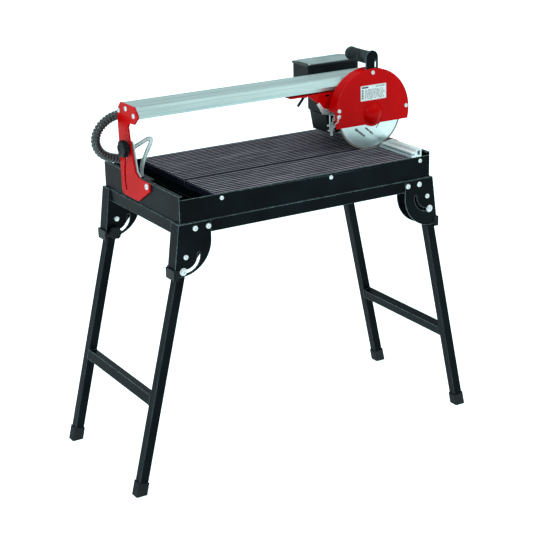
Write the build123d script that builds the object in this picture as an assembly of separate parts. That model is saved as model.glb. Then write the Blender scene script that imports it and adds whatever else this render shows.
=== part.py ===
from build123d import *
import os
from math import atan2, cos, degrees, hypot, pi, radians, sin, tan

# Overhead-rail tile cutter on a folding stand, in millimetres.
# X runs along the bench, the operator stands at -Y, Z is up and the floor is Z = 0.
# The parts are drawn around the middle of the water tray. The feet splay further out on the
# left than on the right, so everything is moved by bench_shift to centre the feet on X = 0.

os.makedirs("parts", exist_ok=True)

# ---- driving dimensions -------------------------------------------------------------------
bench_shift = 9.0

table_top = 736.0
tray_length = 734.0
tray_width = 410.0
tray_wall = 58.0
end_rise = 9.0
sheet = 1.5
lip = 8.0

frame_height = 31.0
frame_flange = 28.0
frame_proud = 3.0
frame_sheet = 2.0

blade_y = -50.0
slot_width = 10.0
blade_radius = 100.0
blade_thickness = 2.2
axis_x = 286.0
axis_z = 832.0

plate_left = -267.0
plate_right = 344.0
plate_thickness = 14.0
rib_height = 3.5
rib_width = 5.2
rib_pitch = 13.7

arm_thickness = 4.0
arm_gap = 0.5
arc_radius = 124.0
stud_angle = 38.0
stud_radius = 4.0

rail_mid_y = 41.0
rail_top = 922.0
rail_bottom = 896.0

leg_y = 192.0
leg_size = 25.0
leg_wall = 1.5
foot_size = 30.0
foot_height = 34.0
bracket_sheet = 3.0
bracket_inner = 176.0
lock_radius = 36.0
left_pivot = (-358.0, 596.5)
right_pivot = (356.0, 628.5)
left_foot_x = -504.0
right_foot_x = 486.0

pin_radius = 4.0
bolt_radius = 4.0
running_gap = 0.05
hole_gap = 0.3

# ---- worked-out places --------------------------------------------------------------------
half_length = tray_length / 2
half_width = tray_width / 2
tray_floor = table_top - tray_wall
end_top = table_top + end_rise
frame_x = half_length + frame_proud
frame_y = half_width + frame_proud
frame_bottom = tray_floor - frame_height
arm_inner = half_length + arm_gap
arm_outer = arm_inner + arm_thickness
pivot_z = table_top
stud_y = blade_y + arc_radius * cos(radians(stud_angle))
stud_z = pivot_z + arc_radius * sin(radians(stud_angle))
bracket_outer = frame_y + bracket_sheet
plate_underside = table_top - rib_height - plate_thickness


# ---- helpers ------------------------------------------------------------------------------
def block(x, y, z):
    """A box between (low, high) pairs on each axis."""
    size = (x[1] - x[0], y[1] - y[0], z[1] - z[0])
    centre = ((x[0] + x[1]) / 2, (y[0] + y[1]) / 2, (z[0] + z[1]) / 2)
    return Pos(*centre) * Box(*size)


def centred_block(half_x, half_y, z):
    return block((-half_x, half_x), (-half_y, half_y), z)


def rod(start, toward, radius, length):
    """A cylinder that starts at a point and runs along a direction."""
    return Plane(origin=start, z_dir=toward) * Cylinder(
        radius, length, align=(Align.CENTER, Align.CENTER, Align.MIN))


def ring(start, toward, outer, inner, length):
    """A washer or bush."""
    return rod(start, toward, outer, length) - rod(start, toward, inner, length)


def slab_y(face, y):
    """An X-Z face made solid between two Y positions."""
    return extrude(Plane.XZ.offset(-y[1]) * face, y[1] - y[0])


def slab_x(face, x):
    """A Y-Z face made solid between two X positions."""
    return extrude(Plane.YZ.offset(x[0]) * face, x[1] - x[0])


def outline(*points):
    """A straight-sided face through the points."""
    return make_face(Polyline(*points, close=True))


def pan_screw(seat, toward, head_radius, head_height, shank_radius, shank_length):
    """A domed head with a hexagon recess on its seat, and a plain shank behind it."""
    base = (Align.CENTER, Align.CENTER, Align.MIN)
    head = Cylinder(head_radius, head_height, align=base)
    head = fillet(head.edges().filter_by(GeomType.CIRCLE).sort_by(Axis.Z)[-1], head_height * 0.6)
    head -= Pos(0, 0, head_height * 0.45) * extrude(RegularPolygon(head_radius * 0.45, 6), head_height)
    shank = Pos(0, 0, -shank_length) * Cylinder(shank_radius, shank_length, align=base)
    return Plane(origin=seat, z_dir=toward) * (head + shank)


def hexagon_nut(seat, toward, across_corner, height, bore):
    """A hexagon nut that sits on a point."""
    nut = Plane(origin=seat, z_dir=toward) * extrude(RegularPolygon(across_corner, 6), height)
    return nut - rod(seat, toward, bore, height)


def group(shapes):
    """Separate solids kept together as one part."""
    return Compound([solid for shape in shapes for solid in shape.solids()])


def save(shape, name):
    export_step(Pos(bench_shift, 0, 0) * shape, "parts/" + name + ".step")


# ---- water tray and base frame ------------------------------------------------------------
table_screw_x = (-252.0, 61.0, 336.0)
table_screw_z = 725.0
screw_radius = 2.5


def table_screw_seats():
    for x in table_screw_x:
        yield (x, -half_width, table_screw_z), (0, -1, 0)
        yield (x, half_width, table_screw_z), (0, 1, 0)


def water_tray():
    """Open sheet-metal tray. Its end walls stand higher than its long walls."""
    tray = centred_block(half_length, half_width, (tray_floor, end_top))
    tray -= centred_block(half_length - sheet, half_width - sheet, (tray_floor + sheet, end_top + 1))
    low = half_length - sheet
    for side in (-1, 1):
        y = sorted((side * (half_width - sheet - 1), side * (half_width + 1)))
        tray -= block((-low, low), y, (table_top, end_top + 1))
        x = sorted((side * (half_length - sheet), side * (half_length - sheet - lip)))
        inner = half_width - sheet
        tray += block(x, (-inner, inner), (end_top - sheet, end_top))
        tray -= block(x, (-1, 79), (end_top - sheet - 1, end_top + 1))
        pivot = (side * (half_length + 1), blade_y, pivot_z)
        tray -= rod(pivot, (-side, 0, 0), 5.3, sheet + 2)
    for seat, toward in table_screw_seats():
        start = (seat[0], seat[1] + toward[1], seat[2])
        tray -= rod(start, (0, -toward[1], 0), screw_radius + hole_gap, sheet + 2)
    return tray


def base_frame():
    """Welded angle frame under the tray."""
    low = frame_bottom - 1
    body = centred_block(frame_x, frame_y, (frame_bottom, tray_floor))
    body -= centred_block(frame_x - frame_sheet, frame_y - frame_sheet, (low, tray_floor - frame_sheet))
    body -= centred_block(frame_x - frame_flange, frame_y - frame_flange, (low, tray_floor + 1))
    for seat, toward in bracket_bolt_seats():
        body -= rod(seat, (0, -toward[1], 0), bolt_radius + hole_gap, 12)
    return body


# ---- folding leg brackets -----------------------------------------------------------------
bracket_top = tray_floor
bracket_width = 87.0
bracket_corner_x = 373.5
bracket_arc = 84.0
bracket_arc_z = 632.0
bracket_bolt_x = (330.0, 294.0)
bracket_bolt_z = 664.0
web_foot_x = 388.0
web_foot_z = 566.0
slot_spare = 3.0
web_clearance = 0.4


def bracket_bolt_seats():
    for side in (-1, 1):
        for x in bracket_bolt_x:
            for front in (-1, 1):
                yield (side * x, front * bracket_outer, bracket_bolt_z), (0, front, 0)


def bracket_face():
    """Outline of a right-hand bracket plate: a tall plate whose inner lower corner is one wide arc."""
    inner_x = bracket_corner_x - bracket_width
    centre_x = inner_x + bracket_arc
    bottom_z = bracket_arc_z - bracket_arc
    straight = Polyline((centre_x, bottom_z), (web_foot_x - 6, bottom_z + 3), (web_foot_x, web_foot_z),
                        (bracket_corner_x, bracket_top), (inner_x, bracket_top), (inner_x, bracket_arc_z))
    corner = RadiusArc((inner_x, bracket_arc_z), (centre_x, bottom_z), -bracket_arc)
    return make_face(straight + corner)


def leg_angle(side):
    """How far the leg leans out from the vertical, in degrees."""
    pivot, foot = leg_ends(side)
    return degrees(atan2(abs(foot - pivot[0]), pivot[1]))


def leg_ends(side):
    if side < 0:
        return left_pivot, left_foot_x
    return right_pivot, right_foot_x


def lock_point(side):
    """Centre of the lock bolt, on the leg's centre line below the pivot."""
    pivot = leg_ends(side)[0]
    lean = radians(leg_angle(side))
    return pivot[0] + side * lock_radius * sin(lean), pivot[1] - lock_radius * cos(lean)


def leg_bracket(side, front):
    """Channel of two plates joined by a web along the outer edge, with the lock bolt's arc slot."""
    pivot = leg_ends(side)[0]
    face = bracket_face()
    if side < 0:
        face = mirror(face, Plane.YZ)
    outer = sorted((front * bracket_outer, front * (bracket_outer - bracket_sheet)))
    inner = sorted((front * bracket_inner, front * (bracket_inner - bracket_sheet)))
    plates = slab_y(face, outer) + slab_y(face, inner)
    # the web is a thin strip behind the slanted outer edge
    x = side * bracket_corner_x
    foot_x = side * web_foot_x
    strip = outline((x, bracket_top), (foot_x, web_foot_z), (foot_x - side * bracket_sheet, web_foot_z),
                    (x - side * bracket_sheet, bracket_top))
    whole = sorted((front * bracket_outer, front * (bracket_inner - bracket_sheet)))
    bracket = plates + slab_y(strip, whole)
    # the inner plate stops under the frame; the outer plate and the web stand against its faces
    under = sorted((front * frame_y, front * (bracket_inner - bracket_sheet - 1)))
    along = sorted((side * 200, side * (frame_x + web_clearance)))
    bracket -= block(along, under, (frame_bottom, bracket_top + 1))
    lean = leg_angle(side)
    start = 270 - lean if side < 0 else 180
    arc = CenterArc(pivot, lock_radius, start - slot_spare, 90 + lean + 2 * slot_spare)
    slot = SlotArc(arc, 2 * (stud_radius + hole_gap))
    through = sorted((front * (bracket_outer + 1), front * (bracket_inner - bracket_sheet - 1)))
    bracket -= slab_y(slot, through)
    pivot_hole = (pivot[0], through[0], pivot[1])
    bracket -= rod(pivot_hole, (0, 1, 0), pin_radius + hole_gap, through[1] - through[0])
    for seat, toward in bracket_bolt_seats():
        start = (seat[0], seat[1] + toward[1], seat[2])
        bracket -= rod(start, (0, -toward[1], 0), bolt_radius + hole_gap, 6)
    return bracket


def frame_bolts():
    """Eight bolts that hold the brackets to the frame."""
    for seat, toward in bracket_bolt_seats():
        bolt = pan_screw(seat, toward, 7.0, 3.4, bolt_radius, 16.0)
        nut_seat = (seat[0], seat[1] - toward[1] * (bracket_sheet + frame_sheet), seat[2])
        yield bolt + hexagon_nut(nut_seat, (0, -toward[1], 0), 6.4, 5.5, 4.0)


def leg_pivot_bolts():
    """Bolts that the legs turn on, with a spacer washer on the outer side."""
    for side in (-1, 1):
        pivot = leg_ends(side)[0]
        for front in (-1, 1):
            seat = (pivot[0], front * bracket_outer, pivot[1])
            reach = bracket_outer - bracket_inner + bracket_sheet + 8
            bolt = pan_screw(seat, (0, front, 0), 6.5, 3.2, pin_radius, reach)
            nut_seat = (pivot[0], front * (bracket_inner - bracket_sheet), pivot[1])
            bolt += hexagon_nut(nut_seat, (0, -front, 0), 6.8, 6.0, pin_radius)
            spacer_seat = (pivot[0], front * frame_y, pivot[1])
            spacer = frame_y - leg_y - leg_size / 2 - 0.3
            bolt += ring(spacer_seat, (0, -front, 0), 8.0, pin_radius, spacer)
            yield bolt


def bracket_caps():
    """Plastic caps that clip round the foot of each bracket's outer web."""
    for side in (-1, 1):
        for front in (-1, 1):
            x = sorted((side * (web_foot_x + 0.1), side * (web_foot_x + 5)))
            y = sorted((front * (bracket_outer + 2.5), front * (bracket_inner - bracket_sheet - 2.5)))
            cap = block(x, y, (542, 568))
            for cheek, reach in ((bracket_outer, 9), (bracket_inner - bracket_sheet - 2.5, 2)):
                cheek_y = sorted((front * cheek, front * (cheek + 2.5)))
                cheek_x = sorted((side * (web_foot_x - reach), side * (web_foot_x + 5)))
                cap += block(cheek_x, cheek_y, (542, 568))
            inside_x = sorted((side * (web_foot_x - 30), side * (web_foot_x + 0.1)))
            inside_y = sorted((front * bracket_outer, front * (bracket_inner - bracket_sheet)))
            yield cap - block(inside_x, inside_y, (540, 570))


# ---- legs ---------------------------------------------------------------------------------
leg_head = 14.0
leg_blank = 720.0
leg_corner = 2.5
leg_end_z = 6.0


def leg_frame(side, y):
    """A plane at the pivot whose Z runs down the leg and whose X lies in the leg's X-Z face."""
    pivot = leg_ends(side)[0]
    lean = radians(leg_angle(side))
    down = (side * sin(lean), 0, -cos(lean))
    across = (cos(lean), 0, side * sin(lean))
    return Plane(origin=(pivot[0], y, pivot[1]), x_dir=across, z_dir=down)


def leg_tube(side, front):
    """Square tube with rounded corners, drilled for its pivot and lock bolts."""
    y = front * leg_y
    plane = leg_frame(side, y)
    bore = leg_size - 2 * leg_wall
    section = RectangleRounded(leg_size, leg_size, leg_corner)
    section -= RectangleRounded(bore, bore, leg_corner - leg_wall)
    tube = plane * (Pos(0, 0, -leg_head) * extrude(section, leg_blank))
    tube -= block((-900, 900), (y - 40, y + 40), (-200, leg_end_z))
    pivot = leg_ends(side)[0]
    lock_x, lock_z = lock_point(side)
    low = y - leg_size
    tube -= rod((pivot[0], low, pivot[1]), (0, 1, 0), pin_radius + running_gap, 2 * leg_size)
    tube -= rod((lock_x, low, lock_z), (0, 1, 0), pin_radius + hole_gap, 2 * leg_size)
    return tube


def rubber_feet(side):
    """Square rubber boots, cut level with the floor, open on top for the leg."""
    for front in (-1, 1):
        y = front * leg_y
        pivot, foot = leg_ends(side)
        length = hypot(pivot[1], foot - pivot[0])
        plane = leg_frame(side, y)
        boot = plane * (Pos(0, 0, length - foot_height) * extrude(
            RectangleRounded(foot_size, foot_size, 4), foot_height + 20))
        boot -= block((-900, 900), (y - 40, y + 40), (-200, 0))
        core = plane * (Pos(0, 0, length - foot_height - 1) * extrude(
            RectangleRounded(leg_size, leg_size, leg_corner), foot_height + 40))
        core -= block((-900, 900), (y - 40, y + 40), (-200, leg_end_z))
        yield boot - core


def crossbar(side, height):
    """Square tube welded between the two legs of a pair."""
    plane = leg_frame(side, 0)
    along = (leg_ends(side)[0][1] - height) / cos(radians(leg_angle(side)))
    half = leg_y - leg_size / 2
    outer = Box(leg_size, 2 * half, leg_size)
    inner = Box(leg_size - 2 * leg_wall, 2 * half, leg_size - 2 * leg_wall)
    return plane * (Pos(0, 0, along) * (outer - inner))


def lock_bolts(side):
    """Bolts that ride in the brackets' arc slots. Their heads lie on the outer plates."""
    lock_x, lock_z = lock_point(side)
    for front in (-1, 1):
        seat = (lock_x, front * (bracket_outer + 2.0), lock_z)
        reach = bracket_outer + 2.0 - bracket_inner + bracket_sheet + 11
        bolt = pan_screw(seat, (0, front, 0), 7.0, 4.0, stud_radius, reach)
        washer = ring((lock_x, front * (bracket_outer + 0.4), lock_z), (0, front, 0), 9.5, stud_radius, 1.6)
        yield bolt + washer


knob_radius = 17.0
knob_height = 15.0


def lobed_knob(start, toward, radius, height, bore):
    """A plastic knob with six finger hollows round its rim and a hub underneath."""
    base = (Align.CENTER, Align.CENTER, Align.MIN)
    hub = height * 0.3
    head = Cylinder(radius, height - hub, align=base)
    head = fillet(head.edges().filter_by(GeomType.CIRCLE), 2.0)
    for turn in range(6):
        hollow = Cylinder(radius * 0.3, height * 2)
        head -= Rot(0, 0, 60 * turn) * (Pos(radius * 1.14, 0, 0) * hollow)
    knob = Pos(0, 0, hub) * head + Cylinder(radius * 0.5, hub + 1, align=base)
    knob -= Cylinder(bore, (height - 4) * 2)
    return Plane(origin=start, z_dir=toward) * knob


def leg_knob(side, front):
    lock_x, lock_z = lock_point(side)
    start = (lock_x, front * (bracket_inner - bracket_sheet - 0.5), lock_z)
    return lobed_knob(start, (0, -front, 0), knob_radius, knob_height, stud_radius + running_gap)


# ---- table --------------------------------------------------------------------------------
support_x = (-252.0, 61.0, 328.0)
support_width = 22.0
side_clearance = 0.5


def table_plate(low_y, high_y, ribs):
    """Extruded plate with evenly spaced ribs on its top, drilled for the side screws."""
    plate = block((plate_left, plate_right), (low_y, high_y), (plate_underside, table_top - rib_height))
    first = low_y + ((high_y - low_y) - (ribs - 1) * rib_pitch) / 2
    for index in range(ribs):
        y = first + index * rib_pitch
        plate += block((plate_left, plate_right), (y - rib_width / 2, y + rib_width / 2),
                       (table_top - rib_height, table_top))
    for seat, toward in table_screw_seats():
        if low_y < seat[1] * 0.98 < high_y:
            plate -= rod(seat, (0, -toward[1], 0), screw_radius, 22)
    return plate


def table_supports():
    """Three cross channels that carry the table plates over the tray."""
    inner = half_width - sheet
    half = support_width / 2
    for x in support_x:
        bar = block((x - half, x + half), (-inner, inner), (tray_floor + sheet, plate_underside))
        bore = (x - half + 2, x + half - 2)
        bar -= block(bore, (-inner - 1, inner + 1), (tray_floor, plate_underside - 2))
        bar -= block((x - half - 1, x + half + 1), (-inner + 12, inner - 12), (tray_floor, tray_floor + 14))
        yield bar


def panel_screws():
    """Screws through the tray's long walls into the table plates."""
    for seat, toward in table_screw_seats():
        yield pan_screw(seat, toward, 5.5, 2.8, screw_radius, 20.0)


fence_x = 310.0
fence_width = 31.0
fence_height = 20.0


def fence_section():
    """Aluminium stop profile: a low step with a slot on the left, a tall hollow rib on the right."""
    x, z = fence_x, table_top
    face = outline((x, z), (x + fence_width, z), (x + fence_width, z + fence_height),
                   (x + 15, z + fence_height), (x + 12, z + 16), (x, z + 13), (x, z + 9),
                   (x + 10, z + 9), (x + 10, z + 6), (x, z + 6))
    return face - Pos(x + 22.5, z + 10.5) * RectangleRounded(9, 12, 1.5)


def stop_rails():
    """The fence, in two lengths that leave the blade's way clear, also when the head is tilted."""
    rise = fence_height + 1
    front = slab_y(fence_section(), (-half_width, blade_y + 20))
    mitre = outline((blade_y - 8, table_top - 1), (blade_y - 8 - rise, table_top + rise),
                    (blade_y + 40, table_top + rise), (blade_y + 40, table_top - 1))
    front -= slab_x(mitre, (fence_x - 1, fence_x + fence_width + 1))
    rear = slab_y(fence_section(), (blade_y + 12, half_width - sheet - side_clearance))
    return [front, rear]


# ---- bevel tilt ---------------------------------------------------------------------------
rail_screw_radius = 3.0
rail_wall = 3.0


def arm_face():
    """Outline of an end arm: foot round the pivot, slim neck and a head that closes the rail's end."""
    return outline(
        (-60, 745), (-60, 725), (5, 686), (85, 686), (96, 696), (98, 783), (101, 872), (101, 894),
        (96, 907), (81, rail_top + 1), (3, rail_top + 1), (-16, 900), (6, 879), (34, 878), (43, 867),
        (37, 830), (30, 800), (16, 757), (-6, 745))


def arm_slot():
    """Arc slot about the pivot, open from below the stud's rest place to just past it."""
    arc = CenterArc((blade_y, pivot_z), arc_radius, -15, stud_angle + 19)
    return SlotArc(arc, 2 * (stud_radius + hole_gap))


def arm_screw_places():
    return ((89, 901), (48, 912), (6, 901))


def end_arm(side):
    x = sorted((side * arm_inner, side * arm_outer))
    arm = slab_x(arm_face(), x)
    upright = arm.edges().filter_by(Axis.X)
    arm = fillet([edge for edge in upright if edge.center().Z < 760 or edge.center().Z > 870], 2.5)
    arm -= slab_x(arm_slot(), (x[0] - 1, x[1] + 1))
    through = 2 * arm_thickness
    arm -= rod((x[0] - 1, blade_y, pivot_z), (1, 0, 0), 5 + running_gap, through)
    for y, z in arm_screw_places():
        arm -= rod((x[0] - 1, y, z), (1, 0, 0), rail_screw_radius + 0.1, through)
    return arm - rod((x[0] - 1, 56, 858), (1, 0, 0), 2.5, through)


def bevel_pivot_bolts():
    """Shoulder bolts through the tray's end walls. The arms turn on them."""
    for side in (-1, 1):
        seat = (side * (arm_outer + 0.5), blade_y, pivot_z)
        bolt = pan_screw(seat, (side, 0, 0), 8.0, 4.0, 5.0, 22.0)
        nut_seat = (side * (half_length - sheet), blade_y, pivot_z)
        yield bolt + hexagon_nut(nut_seat, (-side, 0, 0), 7.3, 6.0, 5.0)


post_sheet = 3.0


def bevel_posts():
    """Posts inside the end walls that carry the clamp studs of the tilt."""
    for side in (-1, 1):
        inner = half_length - sheet
        x = sorted((side * inner, side * (inner - post_sheet)))
        post = slab_x(outline((0, 698), (78, 698), (78, 752), (62, 822), (56, 830), (36, 830), (29, 822),
                              (14, 760), (0, 748)), x)
        stud = rod((side * (inner - post_sheet - 2), stud_y, stud_z), (side, 0, 0), stud_radius, 27)
        collar = rod((side * inner, stud_y, stud_z), (side, 0, 0), 9.0, sheet + arm_gap - 0.4)
        yield post + stud + collar


bevel_knob_radius = 22.0
bevel_knob_height = 20.0


def bevel_knob(side):
    start = (side * (arm_outer + 0.5), stud_y, stud_z)
    return lobed_knob(start, (side, 0, 0), bevel_knob_radius, bevel_knob_height, stud_radius + running_gap)


def rail_face():
    """Flat hollow extrusion with sloping shoulders and an open track underneath."""
    top, side, mid = 39, 56, rail_mid_y
    shell = outline((mid - top, rail_top), (mid + top, rail_top), (mid + side, 905),
                    (mid + side, rail_bottom), (mid - side, rail_bottom), (mid - side, 905))
    top, side, floor = top - rail_wall, side - rail_wall, rail_bottom + rail_wall
    roof = rail_top - rail_wall
    hollow = outline((mid - top, roof), (mid + top, roof), (mid + side, 904),
                     (mid + side, floor), (mid - side, floor), (mid - side, 904))
    face = shell - hollow - Pos(mid, rail_bottom) * Rectangle(40, 8)
    for y, z in arm_screw_places():
        face += Pos(y, z) * Circle(2 * rail_screw_radius) & shell
    face += Pos(48, 918) * Rectangle(4, 6)
    for y, z in arm_screw_places():
        face -= Pos(y, z) * Circle(rail_screw_radius)
    return face


def guide_rail():
    return slab_x(rail_face(), (-arm_inner, arm_inner))


def rail_screws():
    for side in (-1, 1):
        for y, z in arm_screw_places():
            yield pan_screw((side * arm_outer, y, z), (side, 0, 0), 6.5, 3.4, rail_screw_radius, 20.0)


# ---- carriage -----------------------------------------------------------------------------
trolley_left = 62.0
trolley_right = 330.0
trolley_z = (889.0, 892.0)
shoe_x = (90.0, 200.0, 310.0)
hanger_y = (-19.0, -16.0)
motor_x = (168.0, 344.0)
motor_y = (-12.0, 66.0)
motor_z = (781.0, 888.6)
motor_radius = 47.0
motor_end = 172.0
box_x = (199.0, 361.0)
box_y = (110.0, 191.0)
box_z = (884.0, 936.0)
lever_x = 119.0
lever_y = 4.0


def trolley_plate():
    """Carriage plate under the rail, with the hanger that carries the guard and the motor."""
    plate = block((trolley_left, trolley_right), (-19, 96), trolley_z)
    hanger = outline((trolley_left + 50, trolley_z[1]), (166, 850), (190, 838), (trolley_right, 838),
                     (trolley_right, trolley_z[1]))
    plate += slab_y(hanger, hanger_y)
    slot = Pos(174, 884) * RectangleRounded(14, 6, 2.5)
    plate -= slab_y(slot, (-20, -15))
    plate -= slab_y(Pos(180, 868) * Circle(2), (-20, -15))
    plate -= rod((axis_x, -25, axis_z), (0, 1, 0), 16, 20)
    for y in (15, 67):
        for x in shoe_x:
            plate -= rod((x, y, trolley_z[0] - 1), (0, 0, 1), 3 + hole_gap, 6)
    return plate - rod((lever_x, lever_y, trolley_z[0] - 1), (0, 0, 1), 4 + running_gap, 6)


def guide_shoes():
    """Nylon slides that hold the carriage in the rail's track."""
    step = rail_bottom + rail_wall + hole_gap
    for x in shoe_x:
        low = block((x - 20, x + 20), (rail_mid_y - 19, rail_mid_y + 19), (trolley_z[1], step))
        wide = block((x - 20, x + 20), (rail_mid_y - 26, rail_mid_y + 26), (step, rail_bottom + 9))
        yield low + wide


def motor_housing():
    """Moulded motor case: a square front part with a tapered left end, and a round rear part."""
    front = block(motor_x, motor_y, motor_z)
    front = fillet(front.edges().filter_by(Axis.Y).group_by(Axis.Z)[0], 16)
    left = motor_x[0]
    wedge = outline((left - 1, 838), (left + 6, 830), (left + 16, 775), (left - 1, 775))
    front -= slab_y(wedge, (motor_y[0] - 1, motor_y[1] + 1))
    rear = rod((axis_x, motor_y[1], axis_z), (0, 1, 0), motor_radius, motor_end - motor_y[1] - 14)
    case = front + rear
    for turn in range(12):
        fin = Rot(0, 30 * turn, 0) * Pos(motor_radius, 0, 0) * Box(5, 70, 3)
        case += Pos(axis_x, 112, axis_z) * fin
    case += block((210, 350), (box_y[0], motor_end - 15), (axis_z + 34, box_z[0]))
    case -= rod((axis_x, motor_y[0] + 14, axis_z), (0, 1, 0), motor_radius - 4, motor_end)
    case -= rod((axis_x, motor_y[0] - 1, axis_z), (0, 1, 0), 11, 30)
    return case


def motor_cowl():
    """Slotted fan cover over the motor's rear end."""
    y = motor_end - 14
    cowl = rod((axis_x, y, axis_z), (0, 1, 0), motor_radius + 1, 14)
    cowl -= rod((axis_x, y - 1, axis_z), (0, 1, 0), motor_radius - 3, 12)
    for index in range(-3, 4):
        reach = 34 - 4 * abs(index)
        z = axis_z + 9 * index
        cowl -= block((axis_x - reach, axis_x + reach), (y, y + 20), (z - 2, z + 2))
    return cowl


def motor_stator():
    y = motor_y[0] + 40
    return ring((axis_x, y, axis_z), (0, 1, 0), motor_radius - 4.2, 26, 80)


def spindle_bearings():
    for y in (motor_y[0] + 4, motor_end - 30):
        yield ring((axis_x, y, axis_z), (0, 1, 0), 10.9 if y < 0 else 14.0, 6 + running_gap, 9)


def spindle():
    """Motor shaft with its rotor. The blade flanges sit on its front end."""
    shaft = rod((axis_x, blade_y - 18, axis_z), (0, 1, 0), 6, motor_end - 18 - blade_y + 16)
    rotor = rod((axis_x, motor_y[0] + 40, axis_z), (0, 1, 0), 25.4, 80)
    fan = rod((axis_x, motor_end - 20, axis_z), (0, 1, 0), 30, 5)
    return shaft + rotor + fan


def blade_flanges():
    """Inner and outer clamping flanges, and the nut that holds them."""
    half = blade_thickness / 2
    inner = ring((axis_x, blade_y + half, axis_z), (0, 1, 0), 22, 6, 14)
    outer = ring((axis_x, blade_y - half, axis_z), (0, -1, 0), 22, 6, 5)
    nut = hexagon_nut((axis_x, blade_y - half - 5, axis_z), (0, -1, 0), 12, 8, 6)
    return [inner, outer, nut]


def diamond_blade():
    """Continuous-rim blade: a steel disc with a slightly thicker rim band."""
    half = blade_thickness / 2
    disc = rod((axis_x, blade_y - half, axis_z), (0, 1, 0), blade_radius, blade_thickness)
    groove = ring((axis_x, blade_y - half, axis_z), (0, 1, 0), blade_radius - 8, 22, 0.3)
    back = ring((axis_x, blade_y + half - 0.3, axis_z), (0, 1, 0), blade_radius - 8, 22, 0.3)
    return disc - groove - back - rod((axis_x, blade_y - 5, axis_z), (0, 1, 0), 6, 10)


guard_radius = 117.0
guard_front = -64.0
guard_back = -30.0
guard_sheet = 2.0
guard_bottom = 803.0
dome_flange = 36.0
guard_screw_length = 11.0


def guard_disc(radius, y):
    disc = rod((axis_x, y[0], axis_z), (0, 1, 0), radius, y[1] - y[0])
    return disc - block((0, 600), (y[0] - 1, y[1] + 1), (600, guard_bottom))


def guard_shell():
    """Rear half of the blade guard: back plate and rolled rim, cut short on the left."""
    y = (guard_front + guard_sheet, guard_back)
    shell = guard_disc(guard_radius, y)
    shell -= guard_disc(guard_radius - guard_sheet, (y[0] - 1, y[1] - guard_sheet))
    shell -= rod((axis_x, y[0], axis_z), (0, 1, 0), 30, 60)
    shell -= block((axis_x - guard_radius - 2, 205), (y[0] - 1, y[1] + 1), (700, 846))
    shell -= block((axis_x - 20, axis_x + 20), (y[0] - 1, guard_front + 6.5), (920, 960))
    for x, z in guard_screw_places()[:3]:
        shell += rod((x, y[0], z), (0, 1, 0), 5.0, y[1] - y[0] - guard_sheet)
    shell += block((174, 185), (y[0], y[0] + 8), (830, 850))
    for x, z in guard_screw_places():
        shell -= rod((x, y[0] - 1, z), (0, 1, 0), 2.2, guard_screw_length)
    return shell


def guard_screw_places():
    return ((axis_x, 939), (axis_x + 107, 838), (axis_x - 105.5, 850), (axis_x - 107, 835))


def guard_cover():
    """Front half of the guard: flat face with a domed boss over the blade nut."""
    y = (guard_front, guard_front + guard_sheet)
    cover = guard_disc(guard_radius, y) + rod((axis_x, y[0], axis_z), (0, 1, 0), dome_flange, guard_sheet)
    rim = [edge for edge in cover.edges().group_by(Axis.Y)[0].filter_by(GeomType.CIRCLE)
           if edge.radius > dome_flange]
    cover = chamfer(rim, 1.2)
    cover -= rod((axis_x, y[0] - 1, axis_z), (0, 1, 0), 28, 6)
    dome_height, dome_radius = 18.0, 30.0
    ball = (dome_radius ** 2 + dome_height ** 2) / (2 * dome_height)
    centre = Pos(axis_x, guard_front - dome_height + ball, axis_z)
    dome = centre * Sphere(ball) - centre * Sphere(ball - guard_sheet)
    dome = dome & block((axis_x - 40, axis_x + 40), (guard_front - 30, y[1]), (700, 900))
    cover += dome
    for x, z in guard_screw_places():
        cover -= rod((x, y[0] - 1, z), (0, 1, 0), 2.3, 6)
    return cover


def head_screws():
    """Guard cover screws, and the screws of the switch box lid."""
    for x, z in guard_screw_places():
        yield pan_screw((x, guard_front, z), (0, -1, 0), 5.5, 3.0, 2.1, guard_screw_length)
    for x, y in lid_screw_places():
        yield pan_screw((x, y, lid_top), (0, 0, 1), 4.0, 2.0, 1.8, 12.0)


lid_top = box_z[1] + 4
panel_rise = 2.5
rocker_window_y = (137.0, 165.0)
rocker_window_z = (899.0, 921.0)
rocker_pin_radius = 0.8
rocker_pin_reach = 2.0


def rocker_pin(radius, reach):
    """The rocker's cross pin. It reaches into the box's wall on both sides of the window."""
    start = (box_x[1] - 1.5, rocker_window_y[0] - reach, sum(rocker_window_z) / 2)
    return rod(start, (0, 1, 0), radius, rocker_window_y[1] - rocker_window_y[0] + 2 * reach)


def lid_screw_places():
    for x in (box_x[0] + 9, box_x[1] - 9):
        for y in (box_y[0] + 9, box_y[1] - 9):
            yield x, y


def switch_box():
    """Electrical box behind the rail, open on top under its lid."""
    body = block(box_x, box_y, box_z)
    body = fillet(body.edges().filter_by(Axis.Z), 5)
    body -= block((box_x[0] + 3, box_x[1] - 3), (box_y[0] + 3, box_y[1] - 3), (box_z[0] + 3, box_z[1] + 1))
    for x, y in lid_screw_places():
        body += rod((x, y, box_z[0] + 2), (0, 0, 1), 5, box_z[1] - box_z[0] - 2)
        body -= rod((x, y, box_z[1] - 12), (0, 0, 1), 1.9, 13)
    body -= block((box_x[1] - 4, box_x[1] + 1), rocker_window_y, rocker_window_z)
    return body - rocker_pin(rocker_pin_radius + running_gap, rocker_pin_reach + 0.2)


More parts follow.
